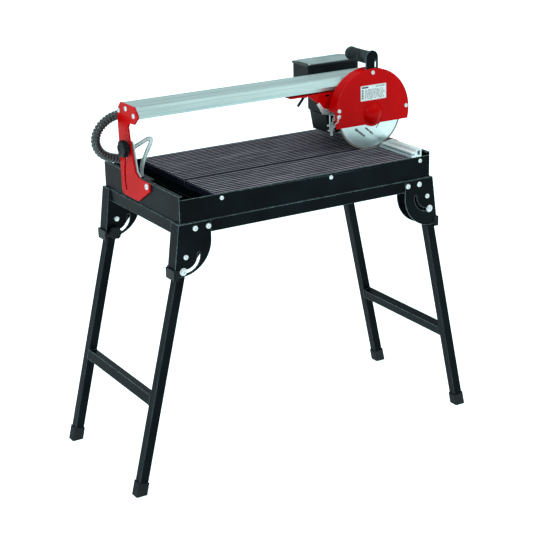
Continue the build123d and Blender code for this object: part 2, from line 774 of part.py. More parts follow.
def switch_lid():
    """Flat lid with a raised panel that stops short of the corner screws."""
    flange = block((box_x[0] - 3, box_x[1] + 3), (box_y[0] - 3, box_y[1] + 3), (box_z[1], lid_top))
    flange = fillet(flange.edges().filter_by(Axis.Z), 7)
    panel_z = (box_z[1] + 1, lid_top + panel_rise)
    panel = block((box_x[0] + 6, box_x[1] - 6), (box_y[0] + 1, box_y[1] - 1), panel_z)
    panel = fillet(panel.edges().filter_by(Axis.Z), 10)
    panel = chamfer(panel.faces().sort_by(Axis.Z)[-1].edges(), 1.2)
    lid = flange + panel
    for x, y in lid_screw_places():
        lid -= rod((x, y, box_z[1] - 1), (0, 0, 1), 2.0, 12)
        lid -= rod((x, y, lid_top), (0, 0, 1), 4.6, 6)
    return lid


def switch_rocker():
    """Rocker switch key. It turns about a cross pin at its middle."""
    face = outline((box_x[1] - 2, 900.5), (box_x[1] + 4, 901), (box_x[1] + 2, 910), (box_x[1] + 4, 919),
                   (box_x[1] - 2, 919.5))
    key = slab_y(face, (rocker_window_y[0] + 1.5, rocker_window_y[1] - 1.5))
    return key + rocker_pin(rocker_pin_radius, rocker_pin_reach)


grip_radius = 18.0
grip_bar_radius = 6.0
grip_z = 975.0
grip_y = (-57.0, 40.0)


def handle_support():
    """Upright plate with a rounded top, and the bar that carries the grip."""
    half = 19.0
    face = make_face(Polyline((axis_x - half, grip_z + 2), (axis_x - half, 905), (axis_x + half, 905),
                              (axis_x + half, grip_z + 2)) +
                     RadiusArc((axis_x + half, grip_z + 2), (axis_x - half, grip_z + 2), -half))
    face -= Pos(axis_x + 11, 958) * RectangleRounded(5, 26, 2.4)
    face -= Pos(axis_x, 939) * Circle(5.3)
    plate = slab_y(face, (-61, -58))
    bar = rod((axis_x, -60, grip_z), (0, 1, 0), grip_bar_radius, grip_y[1] + 63)
    flange = rod((axis_x, grip_y[1], grip_z), (0, 1, 0), 15, 3)
    return plate + bar + flange


def handle_grip():
    bore = grip_bar_radius + running_gap
    grip = ring((axis_x, grip_y[0], grip_z), (0, 1, 0), grip_radius, bore, grip_y[1] - grip_y[0])
    ends = [edge for edge in grip.edges().filter_by(GeomType.CIRCLE) if edge.radius > 10]
    return fillet(ends, 2.5)


latch_pin_radius = 3.8


def latch_bracket():
    """Zinc-plated strap under the hanger that holds the locking pin's eye."""
    face = outline((139, 866), (146, 870), (160, 853), (194, 845), (192, 829), (156, 838))
    strap = slab_y(face, (-24, -21))
    spacer = rod((184, -21, 842), (0, 1, 0), 4, 2)
    lug = block((178, 194), (-24, -12), (788, 791)) + block((178, 181), (-24, -21), (788, 838))
    return strap + spacer + lug - rod((187, -18, 780), (0, 0, 1), latch_pin_radius + running_gap, 20)


def latch_pin():
    """Locking pin with a cross bar and a ring end."""
    pin = rod((187, -18, 776), (0, 0, 1), latch_pin_radius, 32)
    bar = rod((175, -18, 804), (1, 0, 0), 2.6, 24)
    return pin + bar


def lock_lever():
    """Clamp lever under the carriage: a screw up into the plate and a slanted handle."""
    screw = rod((lever_x, lever_y, 884), (0, 0, 1), 4, 8)
    boss = rod((lever_x, lever_y, 883), (0, 0, 1), 7, 5)
    reach = (-22, 0, -26)
    arm = rod((lever_x - 1, lever_y, 886), reach, 3.6, 32)
    return screw + boss + arm


# ---- water, cable and conduit -------------------------------------------------------------
pump_x = (-352.0, -304.0)
pump_y = (44.0, 104.0)
pump_top = 722.0
outlet = (-330.0, 66.0)


def pump_body():
    """Submersible pump on the tray floor in the open bay, with its hose barb."""
    z = (tray_floor + sheet, pump_top)
    body = block(pump_x, pump_y, z)
    body = fillet(body.edges().filter_by(Axis.Z), 6)
    for index in range(5):
        low = tray_floor + 8 + 5 * index
        body -= block((pump_x[0] - 1, pump_x[0] + 2), (pump_y[0] + 10, pump_y[1] - 10), (low, low + 2.4))
        body -= block((pump_x[1] - 2, pump_x[1] + 1), (pump_y[0] + 10, pump_y[1] - 10), (low, low + 2.4))
    return body + rod((outlet[0], outlet[1], pump_top), (0, 0, 1), 6.5, 8)


def tube_path(points):
    """Straight runs joined by tangent arcs, each as large as its two runs allow."""
    vectors = [Vector(*point) for point in points]
    radii = []
    for before, corner, after in zip(vectors, vectors[1:], vectors[2:]):
        first, second = corner - before, after - corner
        half_turn = radians(first.get_angle(second)) / 2
        radii.append(0.45 * min(first.length, second.length) / tan(half_turn))
    return FilletPolyline(*points, radius=radii), radii


def tube(name, points, diameter):
    path, radii = tube_path(points)
    body = sweep((path ^ 0) * Circle(diameter / 2), path=path)
    area = pi * diameter ** 2 / 4
    ratio = body.volume / (area * path.length)
    print(name, "length %.0f" % path.length, "volume/section*length %.4f" % ratio,
          "radii in diameters", [round(radius / diameter, 1) for radius in radii])
    return body


conduit_y = 125.0
conduit_diameter = 24.0
hose_diameter = 10.5
pump_cable_diameter = 5.5
clamp_top = 738.0
clamp_height = 14.0
conduit_points = [
    (-330, conduit_y, 882), (-364, conduit_y, 882), (-396, conduit_y, 869), (-419, conduit_y, 846),
    (-426, conduit_y, 816), (-413, conduit_y, 789), (-386, conduit_y, 773), (-358, conduit_y, 768),
    (-345, conduit_y, 755), (-345, conduit_y, clamp_top)]
hose_points = [
    (-330, 66, 730), (-330, 66, 750), (-325, 60, 772), (-318, 54, 795), (-309, 48, 816), (-305, 50, 827),
    (-312, 58, 826), (-326, 72, 813), (-341, 86, 800), (-349, 97, 787), (-348, 105, 772), (-344, 105, 755),
    (-344, 105, clamp_top)]
pump_cable_points = [
    (-304, 84, 696), (-284, 84, 696), (-276, 110, 690), (-300, 128, 686), (-330, 128, 692),
    (-345, 125, 706), (-345, 125, clamp_top - clamp_height)]


def conduit_gland():
    """Elbow boss on the rail's rear edge where the conduit leaves it."""
    edge = rail_mid_y + 56
    face = outline((edge, rail_bottom), (edge, 904), (139, 904), (143, 897), (143, 867), (139, 863),
                   (112, 863), (108, 867), (108, rail_bottom))
    body = slab_x(face, (-330, -296))
    return fillet(body.edges().filter_by(Axis.X).group_by(Axis.Z)[0], 2)


def conduit_clamp():
    """Two-hole saddle on the end wall that holds the conduit and the hose."""
    inner = -half_length + sheet
    body = block((inner, inner + 38), (94, 141), (clamp_top - clamp_height, clamp_top))
    return fillet(body.edges().filter_by(Axis.Z).group_by(Axis.X)[-1], 6)


# ---- write every part ---------------------------------------------------------------------
def write_stand():
    save(water_tray(), "water_tray")
    save(base_frame(), "base_frame")
    save(group([*frame_bolts(), *panel_screws()]), "stand_fasteners")
    save(group([*leg_pivot_bolts(), *bevel_pivot_bolts()]), "pivot_bolts")
    save(group(bracket_caps()), "bracket_caps")
    save(table_plate(blade_y + slot_width / 2, half_width - sheet - side_clearance, 18), "table_rear")
    save(table_plate(-half_width + sheet + side_clearance, blade_y - slot_width / 2, 11), "table_front")
    save(group(table_supports()), "table_supports")
    save(group(stop_rails()), "stop_rails")
    save(group(bevel_posts()), "bevel_posts")
    save(pump_body(), "pump_body")
    save(conduit_clamp(), "conduit_clamp")
    save(tube("conduit", conduit_points, conduit_diameter), "conduit")
    save(tube("water_hose", hose_points, hose_diameter), "water_hose")
    save(tube("pump_cable", pump_cable_points, pump_cable_diameter), "pump_cable")


def write_legs():
    for side, name, bar_height in ((-1, "left", 235), (1, "right", 226)):
        for front, end in ((-1, "front"), (1, "rear")):
            save(leg_bracket(side, front), "leg_bracket_" + name + "_" + end)
            save(leg_tube(side, front), name + "_leg_" + end)
            save(leg_knob(side, front), "leg_knob_" + name + "_" + end)
        save(crossbar(side, bar_height), name + "_crossbar")
        save(group(rubber_feet(side)), name + "_feet")
        save(group(lock_bolts(side)), name + "_lock_bolts")


def write_bevel():
    save(end_arm(-1), "left_arm")
    save(end_arm(1), "right_arm")
    save(guide_rail(), "guide_rail")
    save(group(rail_screws()), "rail_screws")
    save(conduit_gland(), "conduit_gland")
    save(bevel_knob(-1), "bevel_knob_left")
    save(bevel_knob(1), "bevel_knob_right")


def write_carriage():
    save(trolley_plate(), "trolley_plate")
    save(group(guide_shoes()), "guide_shoes")
    save(motor_housing(), "motor_housing")
    save(motor_cowl(), "motor_cowl")
    save(motor_stator(), "motor_stator")
    save(group(spindle_bearings()), "spindle_bearings")
    save(spindle(), "spindle")
    save(group(blade_flanges()), "blade_flanges")
    save(diamond_blade(), "diamond_blade")
    save(guard_shell(), "guard_shell")
    save(guard_cover(), "guard_cover")
    save(group(head_screws()), "head_screws")
    save(switch_box(), "switch_box")
    save(switch_lid(), "switch_lid")
    save(switch_rocker(), "switch_rocker")
    save(handle_support(), "handle_support")
    save(handle_grip(), "handle_grip")
    save(latch_bracket(), "latch_bracket")
    save(latch_pin(), "latch_pin")
    save(lock_lever(), "lock_lever")


write_stand()
write_legs()
write_bevel()
write_carriage()
print("leans: left %.2f, right %.2f degrees" % (leg_angle(-1), leg_angle(1)))
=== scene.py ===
import bpy
import random
from math import cos, pi, sin
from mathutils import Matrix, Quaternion, Vector


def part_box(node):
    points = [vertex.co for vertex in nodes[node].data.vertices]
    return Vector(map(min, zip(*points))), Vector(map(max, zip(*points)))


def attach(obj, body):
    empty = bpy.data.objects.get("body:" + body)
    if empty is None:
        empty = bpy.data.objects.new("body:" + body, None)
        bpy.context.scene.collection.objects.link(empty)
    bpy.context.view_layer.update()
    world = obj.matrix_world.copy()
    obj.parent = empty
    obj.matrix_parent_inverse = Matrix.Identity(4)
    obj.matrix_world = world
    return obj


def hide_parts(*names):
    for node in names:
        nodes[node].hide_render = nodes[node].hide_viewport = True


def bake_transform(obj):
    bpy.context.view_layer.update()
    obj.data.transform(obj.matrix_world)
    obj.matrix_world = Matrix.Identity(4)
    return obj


# Looks of a folding, overhead-rail tile cutter. Metres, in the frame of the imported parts:
# X along the bench, the operator at -Y, Z up from the floor.

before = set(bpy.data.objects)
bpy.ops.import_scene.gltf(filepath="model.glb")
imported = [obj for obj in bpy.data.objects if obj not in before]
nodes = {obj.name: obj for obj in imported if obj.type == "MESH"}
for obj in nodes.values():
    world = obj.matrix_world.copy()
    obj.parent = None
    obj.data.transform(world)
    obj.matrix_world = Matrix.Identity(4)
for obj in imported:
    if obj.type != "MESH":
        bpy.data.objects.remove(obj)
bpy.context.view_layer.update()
chance = random.Random(11)
MM = 0.001


# ---- camera, floor and light --------------------------------------------------------------
camera_place = Vector((-1.8751, -3.1687, 1.7107))
camera_target = Vector((-0.0014, 0.0, 0.4455))
camera_roll = -0.02336
camera_lens = 99.36


def make_camera():
    data = bpy.data.cameras.new("camera")
    data.lens = camera_lens
    data.sensor_width = 36.0
    data.clip_end = 60.0
    camera = bpy.data.objects.new("camera", data)
    bpy.context.scene.collection.objects.link(camera)
    camera.location = camera_place
    look = (camera_target - camera_place).to_track_quat("-Z", "Y")
    camera.rotation_mode = "QUATERNION"
    camera.rotation_quaternion = look @ Quaternion((0, 0, 1), camera_roll)
    bpy.context.scene.camera = camera


def area_light(name, place, target, size, power, colour=(1, 1, 1)):
    data = bpy.data.lights.new(name, "AREA")
    data.shape = "DISK"
    data.size = size
    data.energy = power
    data.color = colour
    light = bpy.data.objects.new(name, data)
    bpy.context.scene.collection.objects.link(light)
    light.location = place
    light.rotation_mode = "QUATERNION"
    light.rotation_quaternion = (Vector(target) - Vector(place)).to_track_quat("-Z", "Y")


def make_studio():
    """A sky that is brighter overhead, a small key light from the right and three soft ones."""
    world = bpy.data.worlds.new("studio")
    world.use_nodes = True
    tree = world.node_tree
    direction = tree.nodes.new("ShaderNodeTexCoord").outputs["Generated"]
    split = tree.nodes.new("ShaderNodeSeparateXYZ")
    tree.links.new(direction, split.inputs[0])
    sky = tree.nodes.new("ShaderNodeValToRGB")
    tree.links.new(split.outputs["Z"], sky.inputs["Fac"])
    sky.color_ramp.elements[0].color = (0.22, 0.27, 0.29, 1)
    sky.color_ramp.elements[1].color = (0.80, 0.92, 0.94, 1)
    sky.color_ramp.elements[1].position = 0.7
    background = tree.nodes["Background"]
    tree.links.new(sky.outputs["Color"], background.inputs["Color"])
    bpy.context.scene.world = world
    middle = (0.0, 0.0, 0.7)
    area_light("key", (1.9, -2.35, 3.6), middle, 0.20, 34)
    area_light("side", (-2.4, -2.0, 2.8), middle, 0.8, 26)
    area_light("left", (-3.6, 0.4, 1.6), middle, 1.6, 30, (0.70, 0.95, 1.0))
    area_light("top", (0.8, 1.4, 3.8), middle, 2.2, 30)
    bpy.context.scene.view_settings.view_transform = "Standard"


def make_floor():
    """A wide pale floor that glows, like a light table."""
    mesh = bpy.data.meshes.new("floor")
    reach = 40.0
    corners = [(-reach, -reach, 0), (reach, -reach, 0), (reach, reach, 0), (-reach, reach, 0)]
    mesh.from_pydata(corners, [], [(0, 1, 2, 3)])
    floor = bpy.data.objects.new("floor", mesh)
    bpy.context.scene.collection.objects.link(floor)
    floor_finish = Finish("floor_light_table", (0.50, 0.50, 0.50), 0.9, specular=0.0)
    floor_finish.colour(floor_finish.ramp(floor_finish.noise(3.0, 2), [
        (0.3, (0.48, 0.48, 0.48)), (0.7, (0.52, 0.52, 0.52))]))
    floor_finish.set("Emission Color", (0.80, 0.97, 1.0, 1))
    floor_finish.set("Emission Strength", 1.1)
    mesh.materials.append(floor_finish.material)


# ---- materials ----------------------------------------------------------------------------
blade_rim = 5.0 * MM
ring_pitch = 1.6 * MM
rib_top_depth = 0.5 * MM
# Width of the painted highlight line at the table's left end.
left_end_highlight_width = 1.6 * MM
lid_panel_rise = 2.0 * MM


class Finish:
    """A Principled material, with short calls that add noise, wear and relief to it."""

    def __init__(self, name, colour, roughness, metallic=0.0, specular=0.5):
        self.material = bpy.data.materials.new(name)
        self.material.use_nodes = True
        self.tree = self.material.node_tree
        self.shader = self.tree.nodes["Principled BSDF"]
        self.shader.inputs["Base Color"].default_value = (*colour, 1)
        self.shader.inputs["Roughness"].default_value = roughness
        self.shader.inputs["Metallic"].default_value = metallic
        self.shader.inputs["Specular IOR Level"].default_value = specular
        self.place = self.tree.nodes.new("ShaderNodeTexCoord").outputs["Object"]

    def wire(self, source, target):
        self.tree.links.new(source, target)

    def set(self, name, value):
        self.shader.inputs[name].default_value = value

    def math(self, operation, first, second=None, third=None, clamp=False):
        node = self.tree.nodes.new("ShaderNodeMath")
        node.operation = operation
        node.use_clamp = clamp
        for index, value in enumerate((first, second, third)):
            if isinstance(value, (int, float)):
                node.inputs[index].default_value = value
            elif value is not None:
                self.wire(value, node.inputs[index])
        return node.outputs[0]

    def step(self, value, start, width):
        """0 below start, 1 above start + width, and even between them."""
        return self.math("MULTIPLY", self.math("SUBTRACT", value, start), 1 / width, clamp=True)

    def axis(self, name):
        """One coordinate of the point, in metres."""
        node = self.tree.nodes.new("ShaderNodeSeparateXYZ")
        self.wire(self.place, node.inputs[0])
        return node.outputs[name]

    def stretched(self, stretch):
        node = self.tree.nodes.new("ShaderNodeMapping")
        node.inputs["Scale"].default_value = stretch
        self.wire(self.place, node.inputs["Vector"])
        return node.outputs["Vector"]

    def noise(self, scale, detail=4.0, stretch=(1, 1, 1)):
        node = self.tree.nodes.new("ShaderNodeTexNoise")
        node.inputs["Scale"].default_value = scale
        node.inputs["Detail"].default_value = detail
        self.wire(self.stretched(stretch), node.inputs["Vector"])
        return node.outputs["Fac"]

    def cells(self, scale):
        node = self.tree.nodes.new("ShaderNodeTexVoronoi")
        node.inputs["Scale"].default_value = scale
        self.wire(self.place, node.inputs["Vector"])
        return node.outputs["Distance"]

    def ramp(self, value, stops):
        node = self.tree.nodes.new("ShaderNodeValToRGB")
        ramp = node.color_ramp
        while len(ramp.elements) < len(stops):
            ramp.elements.new(0.5)
        for element, (at, colour) in zip(ramp.elements, stops):
            element.position = at
            element.color = (*colour, 1) if isinstance(colour, tuple) else (colour, colour, colour, 1)
        self.wire(value, node.inputs["Fac"])
        return node.outputs["Color"]

    def mix(self, amount, first, second):
        """Colour first where amount is 0, second where it is 1."""
        node = self.tree.nodes.new("ShaderNodeMix")
        node.data_type = "RGBA"
        self.wire(amount, node.inputs["Factor"])
        for socket, value in ((node.inputs[6], first), (node.inputs[7], second)):
            if isinstance(value, tuple):
                socket.default_value = (*value, 1)
            else:
                self.wire(value, socket)
        return node.outputs[2]

    def edges(self, radius, strength=6.0):
        """1 along the sharp edges within radius of them, 0 on the flats."""
        bevel = self.tree.nodes.new("ShaderNodeBevel")
        bevel.samples = 4
        bevel.inputs["Radius"].default_value = radius
        geometry = self.tree.nodes.new("ShaderNodeNewGeometry")
        dot = self.tree.nodes.new("ShaderNodeVectorMath")
        dot.operation = "DOT_PRODUCT"
        self.wire(bevel.outputs["Normal"], dot.inputs[0])
        self.wire(geometry.outputs["Normal"], dot.inputs[1])
        away = self.math("SUBTRACT", 1.0, dot.outputs["Value"])
        return self.math("MULTIPLY", away, strength, clamp=True)

    def colour(self, source):
        self.wire(source, self.shader.inputs["Base Color"])

    def rough(self, value, low, high):
        """Roughness from low to high as value goes from 0 to 1."""
        spread = self.math("MULTIPLY_ADD", value, high - low, low, clamp=True)
        self.wire(spread, self.shader.inputs["Roughness"])

    def relief(self, height, depth, strength=1.0, round_edges=0.0):
        bump = self.tree.nodes.new("ShaderNodeBump")
        bump.inputs["Strength"].default_value = strength
        bump.inputs["Distance"].default_value = depth
        self.wire(height, bump.inputs["Height"])
        if round_edges:
            bevel = self.tree.nodes.new("ShaderNodeBevel")
            bevel.samples = 4
            bevel.inputs["Radius"].default_value = round_edges
            self.wire(bevel.outputs["Normal"], bump.inputs["Normal"])
        self.wire(bump.outputs["Normal"], self.shader.inputs["Normal"])


def paint(name, dark, light, wear_and_highlight, roughness, specular):
    """Powder coat: a slow drift of colour, orange peel, and edges turned a paler shade in scuffed patches,
    partly as wear and partly as a painted highlight along the edge lines.
    """
    finish = Finish(name, dark, roughness, specular=specular)
    drift = finish.ramp(finish.noise(9.0, 3), [(0.35, dark), (0.7, light)])
    scuffs = finish.noise(60.0, 6, (1, 1, 0.25))
    patches = finish.math("MULTIPLY_ADD", scuffs, 1.8, -0.25, clamp=True)
    # Pale edges: partly wear, partly a painted highlight along the edge lines.
    edge_wear_and_highlight = finish.math("MULTIPLY", finish.edges(2.2 * MM), patches)
    finish.colour(finish.mix(edge_wear_and_highlight, drift, wear_and_highlight))
    finish.rough(finish.noise(24.0, 4), roughness - 0.06, roughness + 0.08)
    finish.relief(finish.noise(900.0, 2), 0.05 * MM, 0.35, 0.7 * MM)
    return finish.material


def red_paint():
    """Deep red powder coat under a thin clear gloss."""
    # The third colour is the pale edge colour: partly wear, partly a painted highlight.
    material = paint("red_paint", (0.40, 0.0003, 0.0008), (0.52, 0.0005, 0.0012),
                     (0.62, 0.01, 0.02), 0.34, 0.02)
    shader = material.node_tree.nodes["Principled BSDF"]
    shader.inputs["Coat Weight"].default_value = 0.07
    shader.inputs["Coat Roughness"].default_value = 0.06
    return material


def table_coating():
    """Rubbery dark coat in the channels, paler in streaks along the rib tops from wear and a painted
    highlight, with painted highlight lines along the rib edges and at the left end.
    """
    finish = Finish("table_coating", (0.03, 0.03, 0.045), 0.55, specular=0.12)
    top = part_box("table_rear")[1].z
    height = finish.axis("Z")
    crest = finish.step(height, top - rib_top_depth, 0.4 * MM)
    streaks = finish.noise(26.0, 6, (0.35, 3.0, 1.0))
    fine = finish.noise(210.0, 5, (0.25, 3.0, 1.0))
    # Rib tops paler in streaks: partly wear, partly a painted highlight.
    rib_top_wear_and_highlight = finish.math("MULTIPLY", crest, finish.math("MULTIPLY_ADD", streaks, 1.5, -0.2, clamp=True))
    rib_top_wear_and_highlight = finish.math("MULTIPLY", rib_top_wear_and_highlight, finish.math("MULTIPLY_ADD", fine, 1.2, 0.25, clamp=True))
    drift = finish.noise(12.0, 4, (0.4, 2.0, 1.0))
    hollow = finish.ramp(drift, [(0.3, (0.002, 0.003, 0.008)), (0.75, (0.005, 0.007, 0.020))])
    # A painted highlight along the sharp rib edges.
    wear_and_highlight = finish.math("MAXIMUM", rib_top_wear_and_highlight, finish.math("MULTIPLY", finish.edges(0.7 * MM), 0.8))
    # A painted highlight line along the left end of the rib tops.
    left_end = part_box("table_rear")[0].x + left_end_highlight_width
    inward = finish.math("SUBTRACT", left_end, finish.axis("X"))
    rim = finish.math("MULTIPLY", inward, 1 / (0.6 * MM), clamp=True)
    wear_and_highlight = finish.math("MAXIMUM", wear_and_highlight, finish.math("MULTIPLY", rim, crest))
    # The pale colour serves both the wear and the painted highlights.
    finish.colour(finish.mix(wear_and_highlight, hollow, (0.40, 0.38, 0.43)))
    finish.rough(streaks, 0.42, 0.7)
    finish.relief(fine, 0.12 * MM, 0.5, 0.5 * MM)
    return finish.material


def aluminium(name, tint, roughness, brush, metallic=0.85):
    """Drawn aluminium. The fine lines run along the axis where brush is below 1."""
    finish = Finish(name, tint, roughness, metallic=metallic)
    lines = finish.noise(240.0, 4, brush)
    bands = finish.noise(30.0, 2, brush)
    low = tuple(0.66 * part for part in tint)
    high = tuple(min(1.0, 1.18 * part) for part in tint)
    blend = finish.math("MULTIPLY_ADD", lines, 0.35, finish.math("MULTIPLY", bands, 0.65))
    finish.colour(finish.ramp(blend, [(0.32, low), (0.66, high)]))
    finish.rough(lines, roughness - 0.07, roughness + 0.10)
    finish.relief(lines, 0.03 * MM, 0.3, 0.4 * MM)
    return finish.material


def zinc():
    """Bright plated steel with a faint spangle."""
    finish = Finish("zinc_plate", (0.60, 0.66, 0.66), 0.28, metallic=0.6)
    spangle = finish.cells(420.0)
    finish.colour(finish.ramp(spangle, [(0.1, (0.48, 0.54, 0.55)), (0.7, (0.68, 0.74, 0.74))]))
    finish.rough(finish.noise(300.0, 3), 0.2, 0.42)
    finish.relief(finish.noise(600.0, 2), 0.03 * MM, 0.3, 0.3 * MM)
    return finish.material


def blade_steel():
    """Ground steel disc with turned rings, and a sintered rim that is browner and rougher."""
    finish = Finish("blade_steel", (0.62, 0.70, 0.70), 0.3, metallic=0.8)
    low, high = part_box("diamond_blade")
    middle = (low + high) / 2
    across = finish.math("SUBTRACT", finish.axis("X"), middle.x)
    up = finish.math("SUBTRACT", finish.axis("Z"), middle.z)
    squares = finish.math("ADD", finish.math("MULTIPLY", across, across), finish.math("MULTIPLY", up, up))
    radius = finish.math("SQRT", squares)
    wave = finish.math("SINE", finish.math("MULTIPLY", radius, 2 * pi / ring_pitch))
    rings = finish.math("MULTIPLY_ADD", wave, 0.5, 0.5)
    cloud = finish.math("MULTIPLY", finish.noise(16.0, 3), 0.75)
    body = finish.ramp(finish.math("MULTIPLY_ADD", rings, 0.25, cloud), [
        (0.3, (0.56, 0.70, 0.70)), (0.7, (0.76, 0.88, 0.88))])
    grit = finish.ramp(finish.cells(1500.0), [(0.15, (0.14, 0.12, 0.10)), (0.6, (0.36, 0.33, 0.30))])
    rim = finish.step(radius, (high.x - low.x) / 2 - blade_rim, 0.6 * MM)
    finish.colour(finish.mix(rim, body, grit))
    finish.rough(rim, 0.28, 0.75)
    height = finish.math("MULTIPLY_ADD", finish.cells(1500.0), rim, finish.math("MULTIPLY", rings, 0.08))
    finish.relief(height, 0.15 * MM, 0.6)
    return finish.material


def machined_steel():
    """Turned steel with fine bands round the axis."""
    finish = Finish("machined_steel", (0.55, 0.57, 0.58), 0.3, metallic=1.0)
    turned = finish.noise(90.0, 4, (1, 8, 1))
    finish.colour(finish.ramp(turned, [(0.3, (0.42, 0.44, 0.45)), (0.7, (0.64, 0.66, 0.67))]))
    finish.rough(finish.noise(150.0, 3), 0.22, 0.4)
    return finish.material


def moulded(name, dark, light, roughness, grain, depth, specular=0.08):
    """Moulded plastic or rubber with a fine grain, and a painted highlight along its edges."""
    finish = Finish(name, dark, roughness, specular=specular)
    # Painted highlight: the edges are lightened towards a paler copy of the colour.
    pale = finish.math("MULTIPLY", finish.edges(0.8 * MM, 4.0), 0.5)
    drift = finish.ramp(finish.noise(14.0, 4), [(0.35, dark), (0.7, light)])
    finish.colour(finish.mix(pale, drift, tuple(min(1.0, 2.2 * part + 0.01) for part in light)))
    finish.rough(finish.noise(40.0, 4), roughness - 0.08, roughness + 0.1)
    finish.relief(finish.cells(grain), depth, 0.4, 0.6 * MM)
    return finish.material


def lid_plastic():
    """Grey panel of the switch box lid, on a black flange."""
    finish = Finish("lid_plastic", (0.22, 0.30, 0.30), 0.38, specular=0.3)
    raised = finish.step(finish.axis("Z"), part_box("switch_lid")[1].z - lid_panel_rise, 0.3 * MM)
    panel = finish.ramp(finish.noise(20.0, 4), [(0.35, (0.17, 0.24, 0.24)), (0.7, (0.25, 0.33, 0.33))])
    finish.colour(finish.mix(raised, (0.006, 0.009, 0.010), panel))
    finish.rough(finish.noise(40.0, 4), 0.3, 0.5)
    finish.relief(finish.cells(600.0), 0.05 * MM, 0.4, 0.6 * MM)
    return finish.material


def label_paper():
    """Satin foil label, faintly mottled."""
    finish = Finish("label_foil", (0.66, 0.74, 0.74), 0.42)
    mottle = finish.noise(70.0, 4)
    finish.colour(finish.ramp(mottle, [(0.3, (0.56, 0.66, 0.66)), (0.7, (0.72, 0.80, 0.80))]))
    finish.rough(finish.noise(120.0, 3), 0.34, 0.52)
    return finish.material


def print_ink():
    """Worn grey print."""
    finish = Finish("print_ink", (0.06, 0.08, 0.08), 0.6, specular=0.2)
    wear = finish.noise(400.0, 4)
    finish.colour(finish.ramp(wear, [(0.35, (0.015, 0.02, 0.02)), (0.7, (0.10, 0.12, 0.12))]))
    finish.rough(finish.noise(200.0, 3), 0.5, 0.7)
    return finish.material


def foam():
    """Closed-cell foam: matt, pitted, dusty on the crowns."""
    finish = Finish("foam_grip", (0.02, 0.024, 0.026), 0.92, specular=0.25)
    pores = finish.cells(1100.0)
    dust = finish.noise(55.0, 6)
    dusty = finish.math("MULTIPLY_ADD", dust, 1.8, -0.7, clamp=True)
    finish.colour(finish.mix(dusty, (0.006, 0.010, 0.011), (0.06, 0.085, 0.09)))
    finish.relief(finish.math("MULTIPLY_ADD", dust, 0.5, pores), 0.5 * MM, 0.7)
    return finish.material


def clear_vinyl():
    """Slightly cloudy clear hose."""
    finish = Finish("clear_vinyl", (0.72, 0.84, 0.83), 0.18)
    cloud = finish.noise(45.0, 3)
    finish.colour(finish.ramp(cloud, [(0.3, (0.60, 0.74, 0.73)), (0.7, (0.84, 0.93, 0.92))]))
    finish.rough(finish.noise(80.0, 3), 0.1, 0.28)
    finish.set("Transmission Weight", 0.45)
    finish.set("IOR", 1.4)
    return finish.material


def nylon():
    """Natural nylon, slightly yellow."""
    finish = Finish("nylon", (0.75, 0.73, 0.66), 0.45)
    drift = finish.noise(30.0, 3)
    finish.colour(finish.ramp(drift, [(0.3, (0.68, 0.66, 0.60)), (0.7, (0.80, 0.78, 0.72))]))
    finish.rough(finish.noise(60.0, 3), 0.38, 0.55)
    return finish.material


def copper():
    """Lacquered copper with fine streaks along the axis."""
    finish = Finish("copper_windings", (0.55, 0.25, 0.12), 0.35, metallic=0.9)
    wires = finish.noise(220.0, 3, (1, 0.2, 1))
    finish.colour(finish.ramp(wires, [(0.3, (0.35, 0.14, 0.06)), (0.7, (0.66, 0.33, 0.17))]))
    finish.rough(finish.noise(150.0, 3), 0.25, 0.5)
    return finish.material


def make_finishes():
    return {
        # Black paint: the third colour is the pale edge colour, partly wear and partly a painted highlight.
        "black_paint": paint("black_paint", (0.0018, 0.0030, 0.0038), (0.0036, 0.0070, 0.0085),
                             (0.26, 0.36, 0.37), 0.30, 0.03),
        "red_paint": red_paint(),
        "table_coating": table_coating(),
        "rail_aluminium": aluminium("rail_aluminium", (0.44, 0.57, 0.56), 0.38, (0.05, 4, 4)),
        "fence_aluminium": aluminium("fence_aluminium", (0.62, 0.74, 0.74), 0.5, (4, 0.05, 4),
                                     metallic=0.5),
        "zinc": zinc(),
        "blade_steel": blade_steel(),
        "machined_steel": machined_steel(),
        "rubber": moulded("rubber_boot", (0.010, 0.012, 0.013), (0.018, 0.021, 0.022), 0.7, 700.0,
                          0.1 * MM),
        "foam": foam(),
        "black_plastic": moulded("black_plastic", (0.004, 0.006, 0.007), (0.009, 0.013, 0.014), 0.38, 900.0,
                                 0.08 * MM),
        "lid_plastic": lid_plastic(),
        "conduit_plastic": moulded("conduit_plastic", (0.006, 0.012, 0.013), (0.014, 0.026, 0.028), 0.24,
                                   500.0, 0.05 * MM, specular=0.7),
        "clear_vinyl": clear_vinyl(),
        "nylon": nylon(),
        "copper": copper(),
        "label": label_paper(),
        "ink": print_ink(),
    }


def dress_nodes(finishes):
    """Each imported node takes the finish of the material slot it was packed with."""
    for node in nodes.values():
        for slot in node.material_slots:
            slot.material = finishes[slot.material.name.split(".")[0]]


# ---- mesh helpers -------------------------------------------------------------------------
# Faces for eight corners that are listed by X, then by Y, then by Z, low before high.
box_faces = [(0, 1, 3, 2), (4, 6, 7, 5), (0, 4, 5, 1), (2, 3, 7, 6), (0, 2, 6, 4), (1, 5, 7, 3)]


def new_piece(name, vertices, faces, finish, slot, body, smooth=False):
    mesh = bpy.data.meshes.new(name)
    mesh.from_pydata(vertices, [], faces)
    mesh.update()
    mesh.materials.append(finish)
    if smooth:
        mesh.shade_smooth()
    piece = bpy.data.objects.new(name, mesh)
    bpy.context.scene.collection.objects.link(piece)
    if body:
        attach(piece, body)
    return piece


def join_parts(parts):
    """One list of vertices and one of faces from several (vertices, faces) pairs."""
    vertices, faces = [], []
    for part_vertices, part_faces in parts:
        base = len(vertices)
        vertices += part_vertices
        faces += [tuple(base + index for index in face) for face in part_faces]
    return vertices, faces


